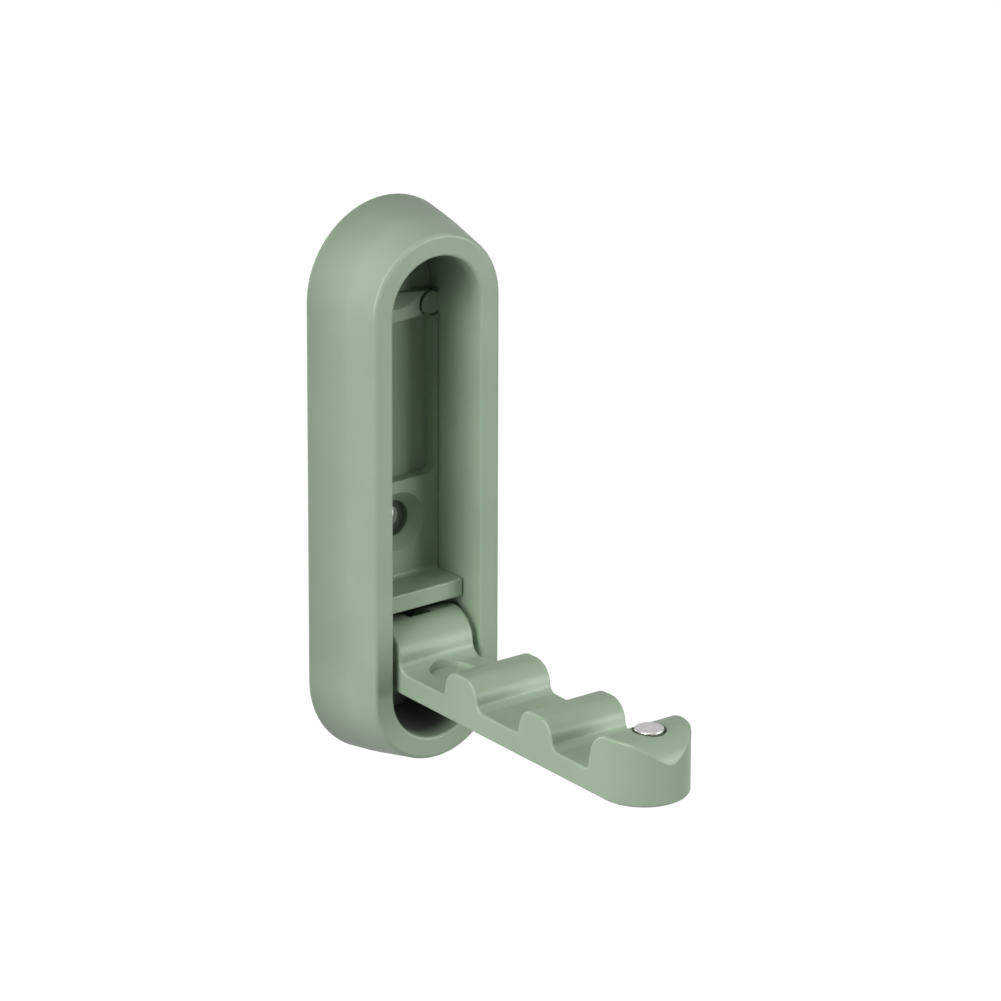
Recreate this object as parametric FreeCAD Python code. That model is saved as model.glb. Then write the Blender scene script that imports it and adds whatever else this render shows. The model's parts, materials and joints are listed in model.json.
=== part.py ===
# Folding wall hook: a stadium-shaped housing on the wall, with an arm that folds up into its recess.
# x runs to the right, y runs into the wall and z runs up; "out" is the distance in front of the wall.
# The origin is on the wall, at the middle of the housing's back.
import FreeCAD, Part
import math
import os

# Arm: bar, knuckle and bumps, in millimetres
arm_width = 18.8
bar_thickness = 4.8
knuckle_radius = 6.75
root_round = 2.5
first_groove = 12.2
second_groove = 13.1
third_groove = 11.17
bump_foot = 11.7
bump_height = 10.85
bump_top_drop = 0.15
bump_inner_lean = 1.2
bump_outer_lean = 1.05
bump_inner_round = 4.4
bump_outer_round = 4.5
inner_foot_round = 1.0
outer_foot_round = 1.8

# Arm: tip block, with one round on both sides of its crest; the outer one ends a little past the nose
tip_block_length = 15.4
tip_height = 13.6
tip_inner_lean = 1.3
tip_round = 6.3
tip_round_past_nose = 0.1
arm_edge_round = 0.55

# Arm: shallow round pocket in the first groove
dimple_radius = 4.8
dimple_depth = 1.2
dimple_from_pivot = 12.2

# Magnet
magnet_diameter = 6.0
magnet_thickness = 3.0
magnet_stand_proud = 0.3
magnet_side_gap = 0.55
magnet_edge_round = 0.25
magnet_from_nose = 7.6

# Hinge pin, washers and their running gaps
pin_diameter = 4.0
pin_bore_gap = 0.05
pin_cradle_gap = 0.03
pin_end_gap = 0.15
pin_chamfer = 0.4
washer_outer_diameter = 9.0
washer_thickness = 0.6
washer_side_gap = 0.05
washer_seat_margin = 0.5
pivot_above_arc_centre = 7.2

# Housing
body_depth = 18.4
recess_side_gap = 1.6
rim_width = 4.6
skirt_flare = 3.5
skirt_bulge = 0.25
skirt_bulge_out = 6.5
skirt_bulge_round = 80.0
front_edge_round = 1.0
recess_draft = 0.06
recess_edge_round = 0.6
skirt_wall = 2.2
rim_thickness = 2.4
recess_wall = 2.0
cradle_height = 10.0
cradle_depth = 3.6
cradle_end_wall = 1.2

# Back plate with its pads, pocket and screw seats
plate_thickness = 2.0
plate_gap = 0.3
core_gap = 0.15
floor_out = 2.4
pad_out = 5.0
pocket_side_strip = 1.1
pocket_height = 34.5
pocket_corner_round = 1.6
pocket_above_lower_hole = 8.8
lower_hole_above_pivot = 24.7
screw_hole_spacing = 53.0
upper_pad_below_hole = 4.5
upper_dish_radius = 7.2
lower_dish_radius = 6.3
lower_dish_depth = 2.2
head_bore_radius = 3.9
screw_seat_out = 1.6
screw_hole_radius = 2.3

# Shelf above the hinge
shelf_thickness = 3.8
shelf_above_knuckle = 1.85
shelf_arm_gap = 0.3
shelf_corner_round = 0.6
shelf_edge_round = 0.35
shelf_root_round = 1.0

# Stop lug of the back plate, and the groove in the knuckle that it runs in
lug_half_width = 2.4
lug_side_gap = 0.3
lug_above_pivot = 0.2
lug_below_pivot = 2.9
lug_tip_gap = 0.2
stop_gap = 0.08
stop_groove_depth = 2.55
stop_groove_end_angle = 82.0

# Plate screws, and the housing's posts that they turn into
plate_screw_diameter = 2.6
plate_screw_head_diameter = 4.8
plate_screw_head_height = 1.3
plate_screw_length = 3.8
plate_screw_sunk = 0.15
plate_screw_gap = 0.1
plate_screw_thread_gap = 0.03
plate_screw_end_gap = 0.3
cross_slot_width = 0.6
cross_slot_length = 2.6
cross_slot_depth = 0.8
upper_post_radius = 2.4
upper_post_notch_gap = 0.7
upper_post_inset = 1.8
upper_post_below_hole = 7.4
lower_post_radius = 2.8
lower_post_out = 8.0
lower_post_wall = 0.6
lower_post_below_pivot = 10.5

# Gaps of the folded arm, at the housing's front and above the nose
folded_flush_gap = 0.15
folded_nose_gap = 0.47

# How far a cutting shape runs past what it cuts
overrun = 1.0

# How near a place an edge must lie to be taken as there
edge_tolerance = 0.01


# Half widths of the arm, the recess and the housing
arm_half = arm_width / 2
recess_half_width_front = arm_half + recess_side_gap
front_half_width = recess_half_width_front + rim_width
back_half_width = front_half_width + skirt_flare


def recess_half_width(out):
    """Half width of the recess at a distance from the wall: it narrows towards the back."""
    return recess_half_width_front - recess_draft * (body_depth - out)


# Places along the arm, measured from the pivot
root_rise = knuckle_radius - bar_thickness - root_round
root_reach = math.sqrt((knuckle_radius + root_round) ** 2 - root_rise ** 2)
first_bump = root_reach + first_groove
second_bump = first_bump + bump_foot + second_groove
tip_start = second_bump + bump_foot + third_groove
arm_length = tip_start + tip_block_length

# Places in the housing
pivot_out = body_depth - folded_flush_gap - knuckle_radius
folded_crest_out = pivot_out + knuckle_radius - tip_height
nose_level = folded_crest_out + tip_round
arc_gap = pivot_above_arc_centre + arm_length + folded_nose_gap - recess_half_width(nose_level)
top_arc_z = arc_gap / 2
bottom_arc_z = -arc_gap / 2
pivot_z = bottom_arc_z + pivot_above_arc_centre
lower_hole_z = pivot_z + lower_hole_above_pivot
upper_hole_z = lower_hole_z + screw_hole_spacing
pocket_bottom_z = lower_hole_z + pocket_above_lower_hole
pocket_top_z = pocket_bottom_z + pocket_height
upper_pad_top_z = upper_hole_z - upper_pad_below_hole
shelf_bottom_z = pivot_z + knuckle_radius + shelf_above_knuckle
shelf_top_z = shelf_bottom_z + shelf_thickness
shelf_out = pivot_out + knuckle_radius - bar_thickness - shelf_arm_gap
pocket_half_width = recess_half_width(pad_out) - core_gap - pocket_side_strip

# Screw posts: the upper ones stand in the recess, the lower ones in the channel round it
upper_post_out = pad_out
upper_post_half_span = recess_half_width(pad_out) - upper_post_inset
upper_post_z = upper_hole_z - upper_post_below_hole
screw_head_hole_radius = plate_screw_head_diameter / 2 + plate_screw_gap
lower_post_reach = back_half_width - skirt_wall - plate_gap - lower_post_wall - screw_head_hole_radius
lower_post_z = pivot_z - lower_post_below_pivot
lower_post_half_span = math.sqrt(lower_post_reach ** 2 - (lower_post_z - bottom_arc_z) ** 2)

# Hinge
pin_radius = pin_diameter / 2
cradle_radius = pin_radius + pin_cradle_gap
washer_face = arm_half + washer_side_gap
cradle_face = washer_face + washer_thickness + washer_side_gap
cradle_end = cradle_face + cradle_depth
pin_half_length = cradle_end - pin_end_gap
groove_floor_radius = knuckle_radius - stop_groove_depth


def point(x, out, z):
    """A point given by its distance out from the wall."""
    return FreeCAD.Vector(x, -out, z)


def arm_point(along, height):
    """A point of the arm's outline, from the pivot and above the arm's underside."""
    return point(-arm_half, pivot_out + along, pivot_z - knuckle_radius + height)


def rounded_wire(corners, place):
    """A closed wire through (a, b, radius) corners, each turned by a tangent arc of its radius."""
    starts = []
    middles = []
    ends = []
    for index, (a, b, radius) in enumerate(corners):
        before = corners[index - 1]
        after = corners[(index + 1) % len(corners)]
        back = math.atan2(before[1] - b, before[0] - a)
        ahead = math.atan2(after[1] - b, after[0] - a)
        half_angle = abs(math.remainder(ahead - back, 2 * math.pi)) / 2
        bisector = back + math.remainder(ahead - back, 2 * math.pi) / 2
        tangent = radius / math.tan(half_angle)
        depth = radius / math.sin(half_angle) - radius
        starts.append((a + tangent * math.cos(back), b + tangent * math.sin(back)))
        middles.append((a + depth * math.cos(bisector), b + depth * math.sin(bisector)))
        ends.append((a + tangent * math.cos(ahead), b + tangent * math.sin(ahead)))
    edges = []
    for index, (a, b, radius) in enumerate(corners):
        if radius > 0:
            arc = Part.Arc(place(*starts[index]), place(*middles[index]), place(*ends[index]))
            edges.append(arc.toShape())
        following = starts[(index + 1) % len(corners)]
        edges.append(Part.makeLine(place(*ends[index]), place(*following)))
    return Part.Wire(edges)


def stadium(corners):
    """A solid with one half section, turned round both ends and straight between them."""
    section = Part.Face(rounded_wire(corners, lambda half, out: point(half, out, 0)))
    low = section.translated(FreeCAD.Vector(0, 0, bottom_arc_z))
    high = section.translated(FreeCAD.Vector(0, 0, top_arc_z))
    top = high.revolve(point(0, 0, top_arc_z), FreeCAD.Vector(0, -1, 0), 180)
    bottom = low.revolve(point(0, 0, bottom_arc_z), FreeCAD.Vector(0, 1, 0), 180)
    right = low.extrude(FreeCAD.Vector(0, 0, arc_gap))
    left = right.mirror(FreeCAD.Vector(0, 0, 0), FreeCAD.Vector(1, 0, 0))
    return top.fuse([bottom, right, left]).removeSplitter()


def box(x_low, x_high, out_low, out_high, z_low, z_high):
    """A box between two distances from the wall."""
    return Part.makeBox(x_high - x_low, out_high - out_low, z_high - z_low, point(x_low, out_high, z_low))


def peg(radius, x, z, out_low, out_high):
    """A cylinder that stands straight out from the wall."""
    return Part.makeCylinder(radius, out_high - out_low, point(x, out_low, z), FreeCAD.Vector(0, -1, 0))


def cone(radius_low, radius_high, x, z, out_low, out_high):
    """A cone that stands straight out from the wall."""
    height = out_high - out_low
    return Part.makeCone(radius_low, radius_high, height, point(x, out_low, z), FreeCAD.Vector(0, -1, 0))


def hinge_bar(radius, half_length):
    """A cylinder along the hinge axis."""
    return hinge_disc(radius, -half_length, half_length)


def hinge_disc(radius, x_low, x_high):
    """A cylinder on the hinge axis, between two places across the housing."""
    start = point(x_low, pivot_out, pivot_z)
    return Part.makeCylinder(radius, x_high - x_low, start, FreeCAD.Vector(1, 0, 0))


def skirt_half_width(out):
    """Half width of the housing's outside at a distance from the wall."""
    lean = (back_half_width - front_half_width) / body_depth
    bulge_half = back_half_width - lean * skirt_bulge_out + skirt_bulge
    if out < skirt_bulge_out:
        return back_half_width + (bulge_half - back_half_width) * out / skirt_bulge_out
    share = (out - skirt_bulge_out) / (body_depth - skirt_bulge_out)
    return bulge_half + (front_half_width - bulge_half) * share


def skirt_section(inset, out_low, out_high, edge_round):
    """Half section of the tapered body, drawn in from the outside by an inset."""
    return [
        (0, out_low, 0),
        (skirt_half_width(out_low) - inset, out_low, 0),
        (skirt_half_width(skirt_bulge_out) - inset, skirt_bulge_out, skirt_bulge_round),
        (skirt_half_width(out_high) - inset, out_high, edge_round),
        (0, out_high, 0),
    ]


def recess_section(outset, out_low, out_high):
    """Half section of the recess, or of something that follows its walls at an outset."""
    return [
        (0, out_low, 0),
        (recess_half_width(out_low) + outset, out_low, 0),
        (recess_half_width(out_high) + outset, out_high, 0),
        (0, out_high, 0),
    ]


def recess_mouth():
    """The space of the recess, opening with a rounded edge at the housing's front."""
    beyond = recess_half_width_front + 2 * recess_edge_round
    return stadium([
        (0, -overrun, 0),
        (recess_half_width(-overrun), -overrun, 0),
        (recess_half_width_front, body_depth, recess_edge_round),
        (beyond, body_depth, 0),
        (beyond, body_depth + overrun, 0),
        (0, body_depth + overrun, 0),
    ])


def post_places():
    """Centres, radii and front ends of the four screw posts."""
    places = {}
    for side, way in (("left", -1), ("right", 1)):
        places["upper_" + side] = (way * upper_post_half_span, upper_post_z, upper_post_radius, upper_post_out)
        places["lower_" + side] = (way * lower_post_half_span, lower_post_z, lower_post_radius, lower_post_out)
    return places


def make_housing():
    """Cast shell: skirt and rim outside, recess wall inside, cradles and posts open to the back."""
    outside = stadium(skirt_section(0, 0, body_depth, front_edge_round))
    rim_back = body_depth - rim_thickness
    inside = stadium(skirt_section(skirt_wall, -overrun, rim_back, 0))
    recess_tube = stadium(recess_section(recess_wall, plate_thickness, body_depth))
    shell = outside.cut(inside.cut(recess_tube))
    cradle_outer = cradle_end + cradle_end_wall
    half_height = cradle_height / 2
    cradles = box(-cradle_outer, cradle_outer, plate_thickness, rim_back + overrun,
                  pivot_z - half_height, pivot_z + half_height)
    shell = shell.fuse(cradles).cut(recess_mouth())
    seat_radius = washer_outer_diameter / 2 + washer_seat_margin
    seat_back = recess_half_width_front + recess_wall / 2
    right_seat = hinge_disc(seat_radius, cradle_face, seat_back)
    left_seat = hinge_disc(seat_radius, -seat_back, -cradle_face)
    posts = []
    for x, z, radius, post_out in post_places().values():
        posts.append(peg(radius, x, z, plate_thickness, post_out))
    shell = shell.fuse([right_seat, left_seat] + posts)
    slot = box(-cradle_end, cradle_end, -overrun, pivot_out, pivot_z - cradle_radius, pivot_z + cradle_radius)
    shell = shell.cut(hinge_bar(cradle_radius, cradle_end).fuse(slot))
    hole_radius = plate_screw_diameter / 2 + plate_screw_thread_gap
    hole_end = plate_screw_sunk + plate_screw_length + plate_screw_end_gap
    for x, z, radius, post_out in post_places().values():
        shell = shell.cut(peg(hole_radius, x, z, plate_thickness - overrun, hole_end))
    return shell.removeSplitter()


def make_back_plate():
    """Cast plate behind the recess: flange, pads, pocket, shelf, stop lug and pin saddles."""
    inset = skirt_wall + plate_gap
    flange = stadium([
        (0, 0, 0),
        (skirt_half_width(0) - inset, 0, 0),
        (skirt_half_width(plate_thickness) - inset, plate_thickness, 0),
        (0, plate_thickness, 0),
    ])
    floor = stadium(recess_section(-core_gap, 0, floor_out))
    pads = stadium(recess_section(-core_gap, 0, pad_out))
    wide = back_half_width
    pads = pads.common(box(-wide, wide, 0, pad_out, shelf_bottom_z, upper_pad_top_z))
    pocket = Part.Face(rounded_wire([
        (-pocket_half_width, pocket_bottom_z, pocket_corner_round),
        (pocket_half_width, pocket_bottom_z, pocket_corner_round),
        (pocket_half_width, pocket_top_z, pocket_corner_round),
        (-pocket_half_width, pocket_top_z, pocket_corner_round),
    ], lambda x, z: point(x, floor_out, z))).extrude(point(0, pad_out, 0))
    plate = flange
    for piece in [floor, pads.cut(pocket), make_shelf(), make_shelf_root(), make_lug()] + make_saddles():
        plate = plate.fuse(piece)
    for tool in wall_screw_holes():
        plate = plate.cut(tool)
    for name, (x, z, radius, post_out) in post_places().items():
        if name.startswith("upper"):
            plate = plate.cut(peg(radius + upper_post_notch_gap, x, z, plate_thickness, pad_out + overrun))
        plate = plate.cut(plate_screw_hole(x, z))
    return plate.removeSplitter()


def make_shelf():
    """Shelf that stands out over the knuckle, with rounded front corners."""
    wide = back_half_width
    slab = stadium(recess_section(-core_gap, 0, shelf_out))
    slab = slab.common(box(-wide, wide, 0, shelf_out, shelf_bottom_z, shelf_top_z))
    front = [edge for edge in slab.Edges
             if abs(edge.BoundBox.YMax + shelf_out) < edge_tolerance
             and edge.BoundBox.ZLength > shelf_thickness / 2]
    slab = slab.makeFillet(shelf_corner_round, front)
    rims = [edge for edge in slab.Edges
            if abs(edge.BoundBox.YMin + shelf_out) < edge_tolerance
            and edge.BoundBox.ZLength < edge_tolerance]
    return slab.makeFillet(shelf_edge_round, rims)


def make_shelf_root():
    """Concave fillet where the shelf's top meets the pad."""
    size = shelf_root_round
    half_width = recess_half_width(pad_out) - core_gap - shelf_edge_round
    corner = box(-half_width, half_width, pad_out, pad_out + size, shelf_top_z, shelf_top_z + size)
    start = point(-half_width, pad_out + size, shelf_top_z + size)
    return corner.cut(Part.makeCylinder(size, 2 * half_width, start, FreeCAD.Vector(1, 0, 0)))


def make_lug():
    """Lug behind the knuckle that stops the open arm."""
    lug_end = pivot_out - groove_floor_radius - lug_tip_gap
    return box(-lug_half_width, lug_half_width, 0, lug_end,
               pivot_z - lug_below_pivot, pivot_z + lug_above_pivot)


def make_saddles():
    """Two fingers that close the pin's cradles from behind."""
    inner = cradle_face + core_gap
    outer = cradle_end - core_gap
    half_height = cradle_radius - core_gap
    pin_space = hinge_bar(cradle_radius, cradle_end)
    saddles = []
    for x_low, x_high in ((-outer, -inner), (inner, outer)):
        finger = box(x_low, x_high, 0, pivot_out, pivot_z - half_height, pivot_z + half_height)
        saddles.append(finger.cut(pin_space))
    return saddles


def wall_screw_holes():
    """Both screw places: through hole, bore for the head and a dish in front of it."""
    tools = []
    for z in (lower_hole_z, upper_hole_z):
        tools.append(peg(screw_hole_radius, 0, z, -overrun, pad_out))
        tools.append(peg(head_bore_radius, 0, z, screw_seat_out, pad_out))
    lower_dish_out = pad_out - lower_dish_depth
    tools.append(cone(head_bore_radius, lower_dish_radius, 0, lower_hole_z, lower_dish_out, pad_out))
    tools.append(cone(head_bore_radius, upper_dish_radius, 0, upper_hole_z, floor_out, pad_out))
    return tools


def plate_screw_hole(x, z):
    """Countersunk hole in the back plate for one plate screw."""
    shank = plate_screw_diameter / 2 + plate_screw_gap
    head = screw_head_hole_radius
    countersink_out = plate_screw_sunk + plate_screw_head_height
    mouth = peg(head, x, z, -overrun, plate_screw_sunk)
    countersink = cone(head, shank, x, z, plate_screw_sunk, countersink_out)
    return mouth.fuse([countersink, peg(shank, x, z, 0, plate_thickness + overrun)])


def make_plate_screw(x, z):
    """Countersunk screw that holds the back plate to one post."""
    shank = plate_screw_diameter / 2
    head_out = plate_screw_sunk + plate_screw_head_height
    tip_out = plate_screw_sunk + plate_screw_length
    head = cone(plate_screw_head_diameter / 2, shank, x, z, plate_screw_sunk, head_out)
    screw = head.fuse(peg(shank, x, z, head_out, tip_out)).removeSplitter()
    half_width = cross_slot_width / 2
    half_length = cross_slot_length / 2
    slot_out = plate_screw_sunk + cross_slot_depth
    upright = box(x - half_width, x + half_width, 0, slot_out, z - half_length, z + half_length)
    level = box(x - half_length, x + half_length, 0, slot_out, z - half_width, z + half_width)
    return screw.cut(upright.fuse(level))


def bump_corners(start):
    """Corners of one bump between two grooves, starting at its foot nearest the wall."""
    end = start + bump_foot
    return [
        (start, bar_thickness, inner_foot_round),
        (start + bump_inner_lean, bump_height - bump_top_drop, bump_inner_round),
        (end - bump_outer_lean, bump_height, bump_outer_round),
        (end, bar_thickness, outer_foot_round),
    ]


def arm_outline():
    """Side outline of the bar, the bumps and the tip block."""
    corners = [(0, bar_thickness, 0)]
    corners += bump_corners(first_bump)
    corners += bump_corners(second_bump)
    end = arm_length + tip_round_past_nose
    corners += [
        (tip_start, bar_thickness, inner_foot_round),
        (tip_start + tip_inner_lean, tip_height, tip_round),
        (end, tip_height, tip_round),
        (end, 0, 0),
        (0, 0, 0),
    ]
    return rounded_wire(corners, arm_point)


def knuckle_root_edges(arm):
    """The edge where the knuckle meets the bar's upper side."""
    height = pivot_z - knuckle_radius + bar_thickness
    return [edge for edge in arm.Edges
            if edge.BoundBox.XLength > arm_half
            and abs(edge.BoundBox.ZMin - height) < edge_tolerance
            and abs(edge.BoundBox.ZMax - height) < edge_tolerance
            and -edge.BoundBox.YMax < pivot_out + root_reach]


def arm_rim_edges(arm):
    """Edges round the arm's two sides and its nose, without the seams of smooth faces."""
    nose_out = pivot_out + arm_length - arm_half
    rims = []
    for edge in arm.Edges:
        limits = edge.BoundBox
        on_side = limits.XLength < edge_tolerance and abs(abs(limits.XMin) - arm_half) < edge_tolerance
        on_nose = -limits.YMax > nose_out - edge_tolerance and limits.XLength > edge_tolerance
        nose_seam = limits.YLength < edge_tolerance and limits.ZLength > bar_thickness
        crest_seam = limits.YLength < edge_tolerance and limits.XLength > arm_half
        if (on_side or on_nose) and not (nose_seam or crest_seam):
            rims.append(edge)
    return rims


def make_arm():
    """Cast arm: knuckle, bar with two bumps, and a tip block with a half-round nose."""
    bar = Part.Face(arm_outline()).extrude(FreeCAD.Vector(arm_width, 0, 0))
    arm = bar.fuse(hinge_bar(knuckle_radius, arm_half)).removeSplitter()
    arm = arm.makeFillet(root_round, knuckle_root_edges(arm))
    nose_out = pivot_out + arm_length - arm_half
    underside_z = pivot_z - knuckle_radius
    reach = box(-arm_half, arm_half, 0, nose_out, underside_z - overrun, underside_z + arm_length)
    round_nose = Part.makeCylinder(arm_half, arm_length, point(0, nose_out, underside_z - overrun))
    arm = arm.common(reach.fuse(round_nose).removeSplitter())
    return arm.makeFillet(arm_edge_round, arm_rim_edges(arm))


def make_pin():
    """Steel hinge pin with chamfered ends."""
    pin = hinge_bar(pin_radius, pin_half_length)
    ends = [edge for edge in pin.Edges if edge.BoundBox.XLength < edge_tolerance]
    return pin.makeChamfer(pin_chamfer, ends)


def make_washer(side):
    """Plastic washer between the knuckle and one wall of the recess."""
    x_low, x_high = sorted((side * washer_face, side * (washer_face + washer_thickness)))
    disc = hinge_disc(washer_outer_diameter / 2, x_low, x_high)
    return disc.cut(hinge_disc(pin_radius + pin_bore_gap, x_low - overrun, x_high + overrun))


def magnet_place():
    """Centre of the magnet's hole at the crest of the tip."""
    return point(0, pivot_out + arm_length - magnet_from_nose, pivot_z - knuckle_radius + tip_height)


def make_magnet():
    """Disc magnet that stands a little proud of the tip."""
    bottom = magnet_place() + FreeCAD.Vector(0, 0, magnet_stand_proud - magnet_thickness)
    disc = Part.makeCylinder(magnet_diameter / 2, magnet_thickness, bottom)
    rims = [edge for edge in disc.Edges if edge.BoundBox.ZLength < edge_tolerance]
    return disc.makeFillet(magnet_edge_round, rims)


def arm_cuts():
    """Pin bore, stop groove, magnet hole and dimple of the arm."""
    bore = hinge_bar(pin_radius + pin_bore_gap, arm_half + overrun)
    half_width = lug_half_width + lug_side_gap
    groove_end_z = pivot_z - lug_below_pivot - stop_gap
    reach = 2 * knuckle_radius
    end_angle = math.radians(stop_groove_end_angle)
    groove = Part.Face(Part.makePolygon([
        point(-half_width, pivot_out, pivot_z),
        point(-half_width, pivot_out + reach * math.cos(end_angle), pivot_z + reach * math.sin(end_angle)),
        point(-half_width, pivot_out - reach, pivot_z + reach),
        point(-half_width, pivot_out - reach, groove_end_z),
        point(-half_width, pivot_out, groove_end_z),
        point(-half_width, pivot_out, pivot_z),
    ])).extrude(FreeCAD.Vector(2 * half_width, 0, 0))
    groove = groove.cut(hinge_bar(groove_floor_radius, arm_half))
    hole_depth = magnet_thickness - magnet_stand_proud
    hole_bottom = magnet_place() - FreeCAD.Vector(0, 0, hole_depth)
    hole = Part.makeCylinder(magnet_diameter / 2 + magnet_side_gap, hole_depth + overrun, hole_bottom)
    dimple_z = pivot_z - knuckle_radius + bar_thickness - dimple_depth
    dimple_place = point(0, pivot_out + dimple_from_pivot, dimple_z)
    dimple = Part.makeCylinder(dimple_radius, dimple_depth + root_round, dimple_place)
    return [bore, groove, hole, dimple]


def build_all():
    """Every piece by name."""
    arm = make_arm()
    for tool in arm_cuts():
        arm = arm.cut(tool)
    pieces = {
        "housing": make_housing(),
        "back_plate": make_back_plate(),
        "hook_arm": arm,
        "tip_magnet": make_magnet(),
        "hinge_pin": make_pin(),
        "hinge_washer_left": make_washer(-1),
        "hinge_washer_right": make_washer(1),
    }
    for name, (x, z, radius, post_out) in post_places().items():
        pieces["plate_screw_" + name] = make_plate_screw(x, z)
    return pieces


os.makedirs("parts", exist_ok=True)
for name, shape in build_all().items():
    solid = shape.Solids[0] if len(shape.Solids) == 1 else shape
    solid.exportStep("parts/" + name + ".step")
    print(name, "solids", len(shape.Solids), "volume", round(shape.Volume, 1), "valid", shape.isValid())
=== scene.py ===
# Folding wall hook: satin sage paint on its castings, bright nickel and steel on its fittings,
# and a plain studio. The castings keep the shapes of the CAD frame and get softened edges.
# Everything is in metres, in the CAD's frame: x to the right, y into the wall and z up.
import json
import math

import bpy
from mathutils import Matrix, Vector

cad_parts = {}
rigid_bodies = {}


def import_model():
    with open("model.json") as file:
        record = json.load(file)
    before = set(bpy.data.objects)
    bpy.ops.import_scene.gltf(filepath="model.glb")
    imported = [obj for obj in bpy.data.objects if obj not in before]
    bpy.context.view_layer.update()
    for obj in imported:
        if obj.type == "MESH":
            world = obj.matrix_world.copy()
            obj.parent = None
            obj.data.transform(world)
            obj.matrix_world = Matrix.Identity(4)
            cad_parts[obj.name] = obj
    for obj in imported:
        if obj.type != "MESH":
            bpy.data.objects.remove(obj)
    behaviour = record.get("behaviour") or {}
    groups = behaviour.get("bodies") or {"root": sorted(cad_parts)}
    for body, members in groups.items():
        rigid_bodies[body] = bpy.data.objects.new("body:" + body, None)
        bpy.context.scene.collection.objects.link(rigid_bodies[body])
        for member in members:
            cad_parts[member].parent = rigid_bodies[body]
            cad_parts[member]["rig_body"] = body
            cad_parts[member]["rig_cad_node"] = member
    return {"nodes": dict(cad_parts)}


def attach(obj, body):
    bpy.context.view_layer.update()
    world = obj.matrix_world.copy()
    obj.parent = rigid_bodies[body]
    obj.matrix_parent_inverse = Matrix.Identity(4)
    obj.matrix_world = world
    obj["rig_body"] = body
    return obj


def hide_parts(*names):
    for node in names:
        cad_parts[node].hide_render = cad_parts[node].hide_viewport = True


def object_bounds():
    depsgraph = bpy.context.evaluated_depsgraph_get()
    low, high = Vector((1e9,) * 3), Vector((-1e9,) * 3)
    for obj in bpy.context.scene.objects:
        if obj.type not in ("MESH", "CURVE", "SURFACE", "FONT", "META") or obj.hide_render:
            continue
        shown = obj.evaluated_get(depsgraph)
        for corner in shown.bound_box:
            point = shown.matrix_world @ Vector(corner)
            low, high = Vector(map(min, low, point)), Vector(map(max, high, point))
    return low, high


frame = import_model()
cad_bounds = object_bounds()

bl_info = {
    "name": "Folding Wall Hook",
    "version": (1, 0, 0),
    "blender": (4, 5, 0),
    "location": "View3D > Sidebar > Wall Hook",
    "description": "Finishes the castings and fittings of a folding wall hook and lights them",
    "category": "Object",
}

MILLIMETRE = 0.001

# Vertices of a CAD copy that lie closer than this are one corner
MERGE_DISTANCE = 0.002 * MILLIMETRE
# Crumbs that the softened edges leave at the arm's nose are smaller than this, and merged away
CRUMB_DISTANCE = 0.01 * MILLIMETRE
# Faces of a CAD copy that turn by less than this are one flat face
FLAT_ANGLE = math.radians(0.5)
# Edges that turn by more than this are softened, in this many steps
EDGE_ANGLE = math.radians(28)
EDGE_STEPS = 3
# Edges that turn by more than this stay sharp in the shading
SMOOTH_ANGLE = math.radians(35)
# How fully the shading follows the largest face at an edge, in percent
FLAT_FACE_WEIGHT = 100

# The photograph's frame, in pixels, and the camera that was fitted to it
PHOTO_WIDTH = 1001
SENSOR_WIDTH = 36.0
FOCAL_PIXELS = 7278.4
CAMERA_PLACE = Vector((-0.81733, -1.12567, 0.52358))
CAMERA_AIM = Vector((0.01409, -0.02086, -0.00264))
CAMERA_ROLL = math.radians(0.194)

# Where shade is painted into the coat's colour, which is darkened there: the ends of the recess,
# the lower screw's bore and the skirt towards its back edge. Radii are seen from the front, and
# each fade is the width of a soft border.
ARC_HEIGHT = 40.8 * MILLIMETRE
END_FADE = 5.0 * MILLIMETRE
RECESS_RADIUS = 11.6 * MILLIMETRE
RECESS_FADE = 0.6 * MILLIMETRE
RECESS_MOUTH = -18.0 * MILLIMETRE
RECESS_MOUTH_FADE = 4.0 * MILLIMETRE
BORE_HEIGHT = -8.9 * MILLIMETRE
BORE_RADIUS = 4.0 * MILLIMETRE
BORE_FADE = 0.2 * MILLIMETRE
BORE_MOUTH = -3.2 * MILLIMETRE
BORE_MOUTH_FADE = 1.0 * MILLIMETRE
PLATE_BACK = -1.2 * MILLIMETRE
PLATE_BACK_FADE = 0.4 * MILLIMETRE
SKIRT_RADIUS = 17.0 * MILLIMETRE
SKIRT_FADE = 0.4 * MILLIMETRE
SKIRT_START = -14.0 * MILLIMETRE
SKIRT_END = -0.1 * MILLIMETRE
SKIRT_END_FADE = 0.3 * MILLIMETRE
# How much rougher the paint gets in the hollows where shade is painted
HOLLOW_ROUGHNESS = 0.5

# Most of a noise lies between these two
NOISE_LOW = 0.3
NOISE_HIGH = 0.7
# Noise scales of each finish, for its clouds, its speckle and its grain
PAINT_SCALES = (70.0, 2200.0, 1300.0)
PLASTIC_SCALES = (300.0, 3000.0, 2500.0)
METAL_CLOUD_SCALE = 400.0
# How much the clouds darken and lighten each finish
PAINT_SHADE = 0.07
PLASTIC_SHADE = 0.05
METAL_SHADE = 0.1
# How much the speckle changes each finish's roughness, as a share of it for the metals
PAINT_SPREAD = 0.05
PLASTIC_SPREAD = 0.05
METAL_SPREAD = 0.3
PLASTIC_ROUGHNESS = 0.45
PLASTIC_GRAIN = 0.004 * MILLIMETRE
# Metals: name, roughness, noise scale of the scratches and their depth
NICKEL = ("Bright Nickel", 0.2, 4000.0, 0.002 * MILLIMETRE)
GROUND_STEEL = ("Ground Steel", 0.25, 3000.0, 0.002 * MILLIMETRE)
ZINC_STEEL = ("Zinc Plated Steel", 0.35, 2500.0, 0.003 * MILLIMETRE)

FLOOR_SIZE = 30.0
# The camera sees this far, past the floor's far edge
CAMERA_REACH = 60.0
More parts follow.
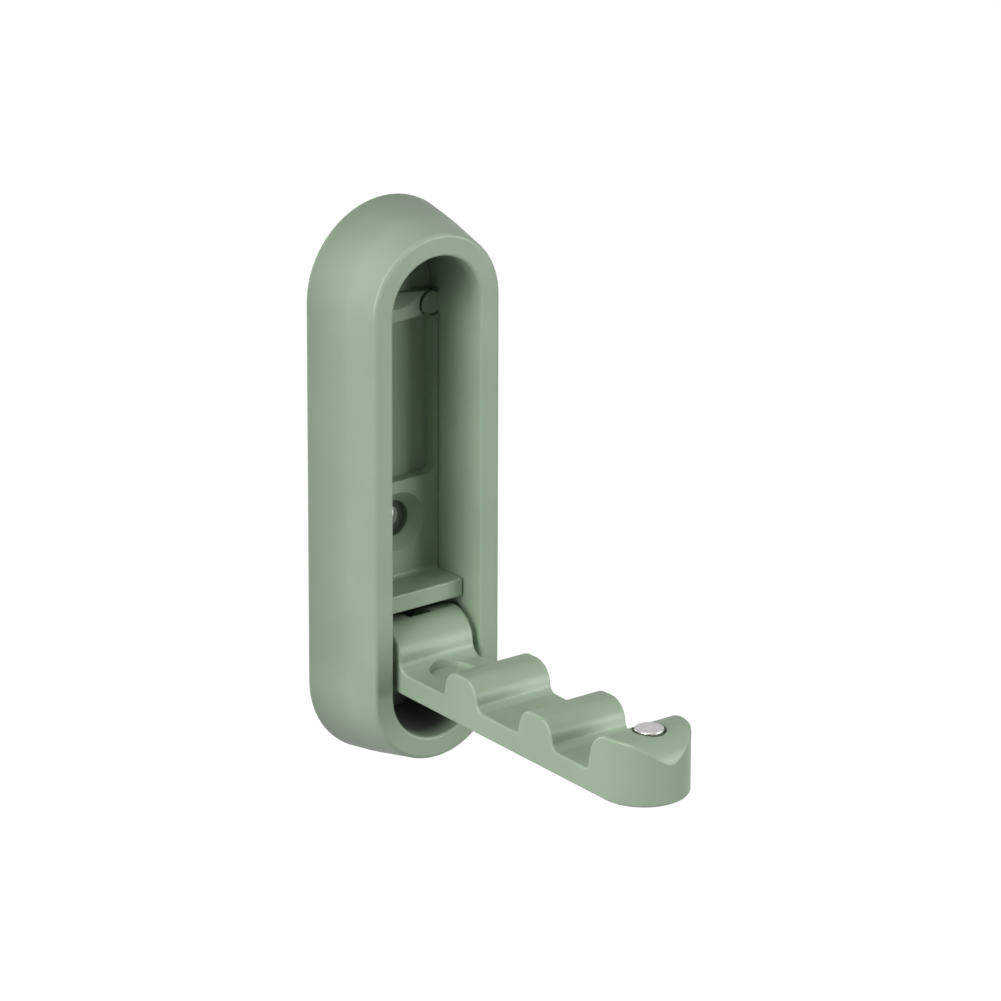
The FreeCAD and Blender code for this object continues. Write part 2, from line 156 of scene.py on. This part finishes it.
# Side of each lamp, and the point that all of them face
LAMP_SIZE = 0.8
LAMP_AIM = Vector((0.0, -0.03, 0.0))
# Lamps: name, place and power in watts
LAMPS = (
    ("left_lamp", (-1.39, -0.24, 0.51), 9.4),
    ("left_low_lamp", (-1.41, -0.51, 0.0), 7.9),
    ("left_high_lamp", (-0.93, -0.25, 1.15), 9.4),
    ("right_low_lamp", (0.86, -1.22, 0.13), 11.8),
    ("right_lamp", (1.28, -0.74, 0.3), 2.6),
    ("top_lamp", (0.0, -0.26, 1.48), 2.3),
    ("rear_lamp", (-0.26, 1.46, 0.2), 8.0),
)


# Settings

class PaintSettings(bpy.types.PropertyGroup):
    """Sage powder coat on the castings."""

    colour: bpy.props.FloatVectorProperty(
        name="Paint colour", description="Colour of the powder coat",
        subtype="COLOR", size=3, min=0.0, max=1.0, default=(0.318, 0.412, 0.301))
    mottle: bpy.props.FloatProperty(
        name="Mottle", description="Strength of the soft cloudy change of colour",
        subtype="FACTOR", min=0.0, max=1.0, default=0.35)
    roughness: bpy.props.FloatProperty(
        name="Roughness", description="Middle roughness of the satin surface",
        subtype="FACTOR", min=0.0, max=1.0, default=0.37)
    peel: bpy.props.FloatProperty(
        name="Peel depth", description="Height of the powder coat's fine orange peel",
        subtype="DISTANCE", unit="LENGTH", min=0.0, default=0.006 * MILLIMETRE)
    # Painted shade: how much the colour is darkened in the recess's upper end, in its lower end
    # and the bore, and at the skirt's back edge
    upper_end_shade: bpy.props.FloatProperty(
        name="Upper tone", description="How much darker the coat is in the recess's upper end",
        subtype="FACTOR", min=0.0, max=1.0, default=0.5)
    lower_end_and_bore_shade: bpy.props.FloatProperty(
        name="Lower tone",
        description="How much darker the coat is in the recess's lower end and in the bore",
        subtype="FACTOR", min=0.0, max=1.0, default=0.75)
    rear_edge_shade: bpy.props.FloatProperty(
        name="Rear tone", description="How much darker the coat is at the skirt's back edge",
        subtype="FACTOR", min=0.0, max=1.0, default=0.3)
    edge: bpy.props.FloatProperty(
        name="Edge softness", description="Width of the round on a casting's edges",
        subtype="DISTANCE", unit="LENGTH", min=0.0, default=0.3 * MILLIMETRE)


class FittingSettings(bpy.types.PropertyGroup):
    """Nickel, steel and plastic of the small pieces."""

    nickel: bpy.props.FloatVectorProperty(
        name="Nickel colour", description="Colour of the magnet's plating",
        subtype="COLOR", size=3, min=0.0, max=1.0, default=(0.82, 0.79, 0.80))
    steel: bpy.props.FloatVectorProperty(
        name="Steel colour", description="Colour of the pin and the plate screws",
        subtype="COLOR", size=3, min=0.0, max=1.0, default=(0.50, 0.50, 0.51))
    plastic: bpy.props.FloatVectorProperty(
        name="Washer colour", description="Colour of the plastic washers",
        subtype="COLOR", size=3, min=0.0, max=1.0, default=(0.72, 0.72, 0.68))


class StudioSettings(bpy.types.PropertyGroup):
    """Floor, lamps and surroundings."""

    floor_drop: bpy.props.FloatProperty(
        name="Floor drop", description="Distance from the hook's lowest point to the floor",
        subtype="DISTANCE", unit="LENGTH", min=0.0, default=0.2)
    floor_colour: bpy.props.FloatVectorProperty(
        name="Floor colour", description="Colour of the pale floor",
        subtype="COLOR", size=3, min=0.0, max=1.0, default=(0.16, 0.16, 0.16))
    floor_glow: bpy.props.FloatProperty(
        name="Floor glow",
        description="How white the floor shows to the camera before any lamp reaches it",
        subtype="FACTOR", min=0.0, max=1.0, default=0.94)
    surroundings: bpy.props.FloatProperty(
        name="Surroundings", description="Strength of the soft light from all round",
        min=0.0, max=2.0, default=0.05)
    reflections: bpy.props.FloatProperty(
        name="Reflections",
        description="How white the surroundings show in the hook's reflections",
        subtype="FACTOR", min=0.0, max=1.0, default=0.6)


# Shader helpers

def add_node(tree, kind, place, **values):
    """A node of that kind, with its attributes set."""
    node = tree.nodes.new(kind)
    node.location = place
    for name, value in values.items():
        setattr(node, name, value)
    return node


def ramp(tree, value, low, high, place, out_low=0.0, out_high=1.0):
    """That value mapped from one range to another."""
    node = add_node(tree, "ShaderNodeMapRange", place)
    node.inputs["From Min"].default_value = low
    node.inputs["From Max"].default_value = high
    node.inputs["To Min"].default_value = out_low
    node.inputs["To Max"].default_value = out_high
    tree.links.new(value, node.inputs["Value"])
    return node.outputs["Result"]


def arithmetic(tree, operation, place, *values):
    """One math step on those values, each a socket or a number."""
    node = add_node(tree, "ShaderNodeMath", place, operation=operation)
    for socket, value in zip(node.inputs, values):
        if isinstance(value, float):
            socket.default_value = value
        else:
            tree.links.new(value, socket)
    return node.outputs[0]


def surface_grain_group():
    """Node group: a cloudy mask, a fine speckle mask and a grain height for any finish."""
    if "Surface Grain" in bpy.data.node_groups:
        return bpy.data.node_groups["Surface Grain"]
    tree = bpy.data.node_groups.new("Surface Grain", "ShaderNodeTree")
    face = tree.interface
    for name, kind, default in (
            ("Vector", "NodeSocketVector", None),
            ("Cloud Scale", "NodeSocketFloat", 60.0),
            ("Speckle Scale", "NodeSocketFloat", 2500.0),
            ("Grain Scale", "NodeSocketFloat", 1400.0)):
        socket = face.new_socket(name=name, in_out="INPUT", socket_type=kind)
        if default is not None:
            socket.default_value = default
    for name in ("Cloud", "Speckle", "Height"):
        face.new_socket(name=name, in_out="OUTPUT", socket_type="NodeSocketFloat")
    entry = add_node(tree, "NodeGroupInput", (-600, 0))
    leave = add_node(tree, "NodeGroupOutput", (300, 0))
    for row, (scale, detail, roughness, out) in enumerate((
            ("Cloud Scale", 3.0, 0.5, "Cloud"),
            ("Speckle Scale", 1.0, 0.5, "Speckle"),
            ("Grain Scale", 2.0, 0.55, "Height"))):
        texture = add_node(tree, "ShaderNodeTexNoise", (-200, 250 - 250 * row))
        texture.inputs["Detail"].default_value = detail
        texture.inputs["Roughness"].default_value = roughness
        tree.links.new(entry.outputs["Vector"], texture.inputs["Vector"])
        tree.links.new(entry.outputs[scale], texture.inputs["Scale"])
        tree.links.new(texture.outputs["Fac"], leave.inputs[out])
    return tree


def new_material(name):
    """A node material, its tree, its Principled shader and its object coordinates."""
    material = bpy.data.materials.new(name)
    material.use_nodes = True
    tree = material.node_tree
    shader = tree.nodes["Principled BSDF"]
    coordinates = add_node(tree, "ShaderNodeTexCoord", (-1200, 0))
    return material, tree, shader, coordinates.outputs["Object"]


def place_grain(tree, vector, cloud_scale, speckle_scale, grain_scale):
    """The grain group, placed in a material with its own scales."""
    node = add_node(tree, "ShaderNodeGroup", (-950, 0), node_tree=surface_grain_group())
    node.inputs["Cloud Scale"].default_value = cloud_scale
    node.inputs["Speckle Scale"].default_value = speckle_scale
    node.inputs["Grain Scale"].default_value = grain_scale
    tree.links.new(vector, node.inputs["Vector"])
    return node


def distance_from(tree, across, height, place):
    """Distance from a point that lies that far across and in height, seen from the front."""
    left, top = place
    square = arithmetic(tree, "MULTIPLY", (left, top), across, across)
    other = arithmetic(tree, "MULTIPLY", (left, top - 150), height, height)
    both = arithmetic(tree, "ADD", (left + 180, top), square, other)
    return arithmetic(tree, "SQRT", (left + 360, top), both)


def stadium_radius(tree, across, height):
    """Distance from the straight line that joins the middles of the housing's two ends."""
    level = arithmetic(tree, "ABSOLUTE", (-800, 1100), height)
    past = arithmetic(tree, "SUBTRACT", (-620, 1100), level, ARC_HEIGHT)
    past = arithmetic(tree, "MAXIMUM", (-440, 1100), past, 0.0)
    return distance_from(tree, across, past, (-260, 1100))


def recess_end_shade(tree, radius, depth, height):
    """Mask of painted shade in the upper and the lower end of the recess."""
    paint = bpy.context.scene.hook_paint
    inside = ramp(tree, radius, RECESS_RADIUS, RECESS_RADIUS - RECESS_FADE, (300, 1400))
    deep = ramp(tree, depth, RECESS_MOUTH, RECESS_MOUTH + RECESS_MOUTH_FADE, (300, 1150))
    recess = arithmetic(tree, "MULTIPLY", (500, 1250), inside, deep)
    upper = ramp(tree, height, ARC_HEIGHT - END_FADE, ARC_HEIGHT + END_FADE, (300, 900),
                 out_high=paint.upper_end_shade)
    lower = ramp(tree, height, -ARC_HEIGHT, -ARC_HEIGHT - END_FADE, (300, 650),
                 out_high=paint.lower_end_and_bore_shade)
    end = arithmetic(tree, "MAXIMUM", (500, 800), upper, lower)
    return arithmetic(tree, "MULTIPLY", (680, 1000), recess, end)


def bore_shade(tree, across, depth, height):
    """Mask of painted shade in the lower screw's bore."""
    paint = bpy.context.scene.hook_paint
    rise = arithmetic(tree, "SUBTRACT", (-800, 500), height, BORE_HEIGHT)
    radius = distance_from(tree, across, rise, (-620, 500))
    inside = ramp(tree, radius, BORE_RADIUS, BORE_RADIUS - BORE_FADE, (300, 400),
                  out_high=paint.lower_end_and_bore_shade)
    deep = ramp(tree, depth, BORE_MOUTH, BORE_MOUTH + BORE_MOUTH_FADE, (300, 150))
    return arithmetic(tree, "MULTIPLY", (500, 300), inside, deep)


def back_edge_shade(tree, radius, depth):
    """Mask of painted shade on the skirt towards its back edge, without the flat face on the
    wall.
    """
    paint = bpy.context.scene.hook_paint
    outside = ramp(tree, radius, SKIRT_RADIUS, SKIRT_RADIUS + SKIRT_FADE, (300, -100))
    rear = ramp(tree, depth, SKIRT_START, 0.0, (300, -350), out_high=paint.rear_edge_shade)
    shown = ramp(tree, depth, SKIRT_END, SKIRT_END - SKIRT_END_FADE, (300, -600))
    rear = arithmetic(tree, "MULTIPLY", (500, -200), outside, rear)
    return arithmetic(tree, "MULTIPLY", (680, -300), rear, shown)


def painted_shade_tone(tree, vector):
    """A factor that darkens the coat's colour as painted shade, and a mask of the hollows where
    shade is painted.
    """
    split = add_node(tree, "ShaderNodeSeparateXYZ", (-1000, 900))
    tree.links.new(vector, split.inputs[0])
    across, depth, height = split.outputs
    radius = stadium_radius(tree, across, height)
    shaded_hollows = arithmetic(tree, "MAXIMUM", (860, 700), recess_end_shade(tree, radius, depth, height),
                      bore_shade(tree, across, depth, height))
    shown = ramp(tree, depth, PLATE_BACK, PLATE_BACK - PLATE_BACK_FADE, (680, 1300))
    shaded_hollows = arithmetic(tree, "MULTIPLY", (1040, 700), shaded_hollows, shown)
    tone = arithmetic(tree, "SUBTRACT", (1220, 600), 1.0, shaded_hollows)
    tone = arithmetic(tree, "SUBTRACT", (1400, 400), tone, back_edge_shade(tree, radius, depth))
    return tone, shaded_hollows


def vary_colour(tree, colour, factor, change):
    """That colour, made darker and lighter by a mask."""
    shade = add_node(tree, "ShaderNodeMix", (-450, 250), data_type="RGBA")
    shade.inputs["A"].default_value = (*[part * (1.0 - change) for part in colour], 1.0)
    shade.inputs["B"].default_value = (*[part * (1.0 + change) for part in colour], 1.0)
    tree.links.new(factor, shade.inputs["Factor"])
    return shade.outputs["Result"]


def vary_roughness(tree, grain, roughness, spread):
    """That roughness, made smoother and rougher by the speckle."""
    return ramp(tree, grain.outputs["Speckle"], NOISE_LOW, NOISE_HIGH, (-700, -50),
                roughness - spread, roughness + spread)


def add_bump(tree, shader, height, depth):
    """A bump of that depth on the shader's normal."""
    bump = add_node(tree, "ShaderNodeBump", (-250, -350))
    bump.inputs["Strength"].default_value = 1.0
    bump.inputs["Distance"].default_value = depth
    tree.links.new(height, bump.inputs["Height"])
    tree.links.new(bump.outputs["Normal"], shader.inputs["Normal"])


def sage_paint_material():
    """Satin sage powder coat with a fine orange peel, a faint cloudiness, and painted shade in
    the recess's ends, the lower bore and towards the skirt's back edge.
    """
    name = "Sage Powder Coat"
    if name in bpy.data.materials:
        return bpy.data.materials[name]
    paint = bpy.context.scene.hook_paint
    material, tree, shader, vector = new_material(name)
    grain = place_grain(tree, vector, *PAINT_SCALES)
    cloud = ramp(tree, grain.outputs["Cloud"], NOISE_LOW, NOISE_HIGH, (-700, 200),
                 0.5 - paint.mottle, 0.5 + paint.mottle)
    colour = vary_colour(tree, paint.colour, cloud, PAINT_SHADE)
    # Painted shade darkens the colour in the recess's ends, the lower bore and towards the
    # skirt's back edge
    tone, shaded_hollows = painted_shade_tone(tree, vector)
    shaded_colour = add_node(tree, "ShaderNodeVectorMath", (-200, 450), operation="SCALE")
    tree.links.new(colour, shaded_colour.inputs["Vector"])
    tree.links.new(tone, shaded_colour.inputs["Scale"])
    tree.links.new(shaded_colour.outputs["Vector"], shader.inputs["Base Color"])
    spread = vary_roughness(tree, grain, paint.roughness, PAINT_SPREAD)
    # The hollows with painted shade are also made rougher
    duller = arithmetic(tree, "MULTIPLY", (-700, -250), shaded_hollows, HOLLOW_ROUGHNESS)
    rough = arithmetic(tree, "ADD", (-450, -100), spread, duller)
    tree.links.new(rough, shader.inputs["Roughness"])
    add_bump(tree, shader, grain.outputs["Height"], paint.peel)
    return material


def fitting_material(name, colour, shade, roughness, spread, scales, depth, metallic):
    """A new material whose colour and roughness change a little over its fine grain."""
    material, tree, shader, vector = new_material(name)
    shader.inputs["Metallic"].default_value = metallic
    grain = place_grain(tree, vector, *scales)
    tone = vary_colour(tree, colour, grain.outputs["Cloud"], shade)
    tree.links.new(tone, shader.inputs["Base Color"])
    rough = vary_roughness(tree, grain, roughness, spread)
    tree.links.new(rough, shader.inputs["Roughness"])
    add_bump(tree, shader, grain.outputs["Height"], depth)
    return material


def metal_material(colour, name, roughness, scratch_scale, depth):
    """A bright metal with fine scratches."""
    scales = (METAL_CLOUD_SCALE, scratch_scale, scratch_scale)
    return fitting_material(name, colour, METAL_SHADE, roughness, roughness * METAL_SPREAD,
                            scales, depth, metallic=1.0)


def plastic_material(colour):
    """Plain pale plastic, faintly grained."""
    return fitting_material("Washer Plastic", colour, PLASTIC_SHADE, PLASTIC_ROUGHNESS,
                            PLASTIC_SPREAD, PLASTIC_SCALES, PLASTIC_GRAIN, metallic=0.0)


# Modelling helpers

def dress(node, material):
    """That CAD node keeps its shape and gets a better material."""
    for entry in frame["nodes"][node].material_slots:
        entry.material = material


def merge_corners(distance, flat_angle=None):
    """The active piece's vertices that lie closer than that become one, and its faces look out.

    Where an angle is given, faces that turn by less than it are joined into one.
    """
    bpy.ops.object.mode_set(mode="EDIT")
    bpy.ops.mesh.select_all(action="SELECT")
    bpy.ops.mesh.remove_doubles(threshold=distance)
    if flat_angle:
        bpy.ops.mesh.dissolve_limited(angle_limit=flat_angle)
    bpy.ops.mesh.normals_make_consistent(inside=False)
    bpy.ops.object.mode_set(mode="OBJECT")


def soften_casting(node, name, body, material, crumb=None):
    """A merged copy of a CAD casting with softened edges stands for it.

    Where a crumb size is given, crumbs up to it are merged away after the edges are softened.
    """
    bpy.ops.object.select_all(action="DESELECT")
    source = frame["nodes"][node]
    source.select_set(True)
    bpy.context.view_layer.objects.active = source
    bpy.ops.object.duplicate()
    piece = bpy.context.object
    piece.parent = None
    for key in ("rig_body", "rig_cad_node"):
        del piece[key]
    piece.name = name
    piece.data.name = name
    merge_corners(MERGE_DISTANCE, FLAT_ANGLE)
    bpy.ops.mesh.customdata_custom_splitnormals_clear()
    soften = piece.modifiers.new("Soft edges", "BEVEL")
    soften.width = bpy.context.scene.hook_paint.edge
    soften.segments = EDGE_STEPS
    soften.limit_method = "ANGLE"
    soften.angle_limit = EDGE_ANGLE
    soften.use_clamp_overlap = True
    soften.miter_outer = "MITER_ARC"
    bpy.ops.object.modifier_apply(modifier=soften.name)
    if crumb:
        merge_corners(crumb)
    bpy.ops.object.shade_smooth_by_angle(angle=SMOOTH_ANGLE)
    flatten = piece.modifiers.new("Flat faces", "WEIGHTED_NORMAL")
    flatten.mode = "FACE_AREA"
    flatten.weight = FLAT_FACE_WEIGHT
    flatten.keep_sharp = True
    bpy.ops.object.modifier_apply(modifier=flatten.name)
    piece.data.materials.clear()
    piece.data.materials.append(material)
    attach(piece, body)
    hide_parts(node)


class HOOK_OT_housing(bpy.types.Operator):
    """Finish the die-cast housing"""

    bl_idname = "wall_hook.housing"
    bl_label = "Housing"

    def execute(self, context):
        soften_casting("housing", "housing_shell", "wall_body",
                       sage_paint_material())
        return {"FINISHED"}


class HOOK_OT_back_plate(bpy.types.Operator):
    """Finish the die-cast plate behind the recess"""

    bl_idname = "wall_hook.back_plate"
    bl_label = "Back plate"

    def execute(self, context):
        soften_casting("back_plate", "screw_plate", "wall_body",
                       sage_paint_material())
        return {"FINISHED"}


class HOOK_OT_arm(bpy.types.Operator):
    """Finish the folding arm"""

    bl_idname = "wall_hook.arm"
    bl_label = "Arm"

    def execute(self, context):
        soften_casting("hook_arm", "folding_arm", "arm",
                       sage_paint_material(), CRUMB_DISTANCE)
        return {"FINISHED"}


class HOOK_OT_magnet(bpy.types.Operator):
    """Plate the magnet with nickel"""

    bl_idname = "wall_hook.magnet"
    bl_label = "Magnet"

    def execute(self, context):
        dress("tip_magnet", metal_material(context.scene.hook_fittings.nickel, *NICKEL))
        return {"FINISHED"}


class HOOK_OT_hinge(bpy.types.Operator):
    """Finish the hinge pin and its washers"""

    bl_idname = "wall_hook.hinge"
    bl_label = "Hinge pin and washers"

    def execute(self, context):
        fittings = context.scene.hook_fittings
        dress("hinge_pin", metal_material(fittings.steel, *GROUND_STEEL))
        plastic = plastic_material(fittings.plastic)
        for side in ("left", "right"):
            dress("hinge_washer_" + side, plastic)
        return {"FINISHED"}


class HOOK_OT_plate_screws(bpy.types.Operator):
    """Finish the four plate screws"""

    bl_idname = "wall_hook.plate_screws"
    bl_label = "Plate screws"

    def execute(self, context):
        steel = metal_material(context.scene.hook_fittings.steel, *ZINC_STEEL)
        for place in ("upper_left", "upper_right", "lower_left", "lower_right"):
            dress("plate_screw_" + place, steel)
        return {"FINISHED"}


# Stage

def background_ray(tree):
    """One where the camera looks at the background, and less where a reflection does."""
    path = add_node(tree, "ShaderNodeLightPath", (-1100, 300)).outputs
    mirrored = arithmetic(tree, "MULTIPLY", (-900, 150), path["Is Glossy Ray"],
                          bpy.context.scene.hook_studio.reflections)
    direct = arithmetic(tree, "MAXIMUM", (-650, 300), path["Is Camera Ray"], mirrored)
    return arithmetic(tree, "MAXIMUM", (-450, 300), direct, path["Is Transmission Ray"])


def floor_material():
    """Pale floor that shows white to the camera and keeps the object's soft shadow."""
    studio = bpy.context.scene.hook_studio
    material = bpy.data.materials.new("Pale Floor")
    material.use_nodes = True
    tree = material.node_tree
    tree.nodes.clear()
    diffuse = add_node(tree, "ShaderNodeBsdfDiffuse", (-250, 0))
    diffuse.inputs["Color"].default_value = (*studio.floor_colour, 1.0)
    share = arithmetic(tree, "MULTIPLY", (-450, -200), background_ray(tree), studio.floor_glow)
    glow = add_node(tree, "ShaderNodeEmission", (-250, -200))
    tree.links.new(share, glow.inputs["Strength"])
    both = add_node(tree, "ShaderNodeAddShader", (0, 0))
    out = add_node(tree, "ShaderNodeOutputMaterial", (250, 0))
    tree.links.new(diffuse.outputs[0], both.inputs[0])
    tree.links.new(glow.outputs[0], both.inputs[1])
    tree.links.new(both.outputs[0], out.inputs["Surface"])
    return material


def light_surroundings(strength):
    """World that is white to the camera and gives a soft light from all round."""
    world = bpy.data.worlds.new("Studio Surroundings")
    bpy.context.scene.world = world
    world.use_nodes = True
    tree = world.node_tree
    background = tree.nodes["Background"]
    background.inputs["Color"].default_value = (1.0, 1.0, 1.0, 1.0)
    level = ramp(tree, background_ray(tree), 0.0, 1.0, (-250, 300), out_low=strength)
    tree.links.new(level, background.inputs["Strength"])


def add_lamp(name, place, power):
    """A square area lamp that points at the middle of the hook."""
    bpy.ops.object.select_all(action="DESELECT")
    bpy.ops.object.light_add(type="AREA", location=place)
    lamp = bpy.context.object
    lamp.name = name
    lamp.data.shape = "SQUARE"
    lamp.data.size = LAMP_SIZE
    lamp.data.energy = power
    lamp.rotation_euler = (LAMP_AIM - Vector(place)).to_track_quat("-Z", "Y").to_euler()


class HOOK_OT_stage(bpy.types.Operator):
    """Add the pale floor, the lamps, the surroundings and the camera"""

    bl_idname = "wall_hook.stage"
    bl_label = "Stage"

    def execute(self, context):
        studio = context.scene.hook_studio
        bpy.ops.object.select_all(action="DESELECT")
        floor_level = cad_bounds[0].z - studio.floor_drop
        bpy.ops.mesh.primitive_plane_add(size=FLOOR_SIZE, location=(0.0, 0.0, floor_level))
        floor = context.object
        floor.name = "studio_floor"
        bpy.ops.object.transform_apply(location=True)
        floor.data.materials.append(floor_material())
        light_surroundings(studio.surroundings)
        for name, place, power in LAMPS:
            add_lamp(name, place, power)
        bpy.ops.object.camera_add(location=CAMERA_PLACE)
        camera = context.object
        camera.name = "photo_camera"
        level = (CAMERA_AIM - CAMERA_PLACE).to_track_quat("-Z", "Y").to_matrix()
        camera.rotation_euler = (level @ Matrix.Rotation(CAMERA_ROLL, 3, "Z")).to_euler()
        camera.data.sensor_width = SENSOR_WIDTH
        camera.data.lens = FOCAL_PIXELS / PHOTO_WIDTH * SENSOR_WIDTH
        camera.data.clip_end = CAMERA_REACH
        context.scene.camera = camera
        context.scene.view_settings.view_transform = "Standard"
        return {"FINISHED"}


class HOOK_PT_panel(bpy.types.Panel):
    """Buttons for the wall hook's pieces and its stage"""

    bl_label = "Folding Wall Hook"
    bl_idname = "HOOK_PT_panel"
    bl_space_type = "VIEW_3D"
    bl_region_type = "UI"
    bl_category = "Wall Hook"

    def draw(self, context):
        layout = self.layout
        scene = context.scene
        for settings in (scene.hook_paint, scene.hook_fittings, scene.hook_studio):
            box = layout.box()
            for name in settings.bl_rna.properties.keys():
                if name not in ("rna_type", "name"):
                    box.prop(settings, name)
        for operator in OPERATORS:
            layout.operator(operator.bl_idname)


SETTINGS = (PaintSettings, FittingSettings, StudioSettings)
OPERATORS = (HOOK_OT_housing, HOOK_OT_back_plate, HOOK_OT_arm, HOOK_OT_magnet, HOOK_OT_hinge,
             HOOK_OT_plate_screws, HOOK_OT_stage)


def register():
    for kind in (*SETTINGS, *OPERATORS, HOOK_PT_panel):
        bpy.utils.register_class(kind)
    bpy.types.Scene.hook_paint = bpy.props.PointerProperty(type=PaintSettings)
    bpy.types.Scene.hook_fittings = bpy.props.PointerProperty(type=FittingSettings)
    bpy.types.Scene.hook_studio = bpy.props.PointerProperty(type=StudioSettings)


def unregister():
    del bpy.types.Scene.hook_studio
    del bpy.types.Scene.hook_fittings
    del bpy.types.Scene.hook_paint
    for kind in reversed((*SETTINGS, *OPERATORS, HOOK_PT_panel)):
        bpy.utils.unregister_class(kind)


def main():
    """Registers the add-on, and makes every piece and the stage."""
    register()
    bpy.ops.wall_hook.housing()
    bpy.ops.wall_hook.back_plate()
    bpy.ops.wall_hook.arm()
    bpy.ops.wall_hook.magnet()
    bpy.ops.wall_hook.hinge()
    bpy.ops.wall_hook.plate_screws()
    bpy.ops.wall_hook.stage()


if __name__ == "__main__":
    main()
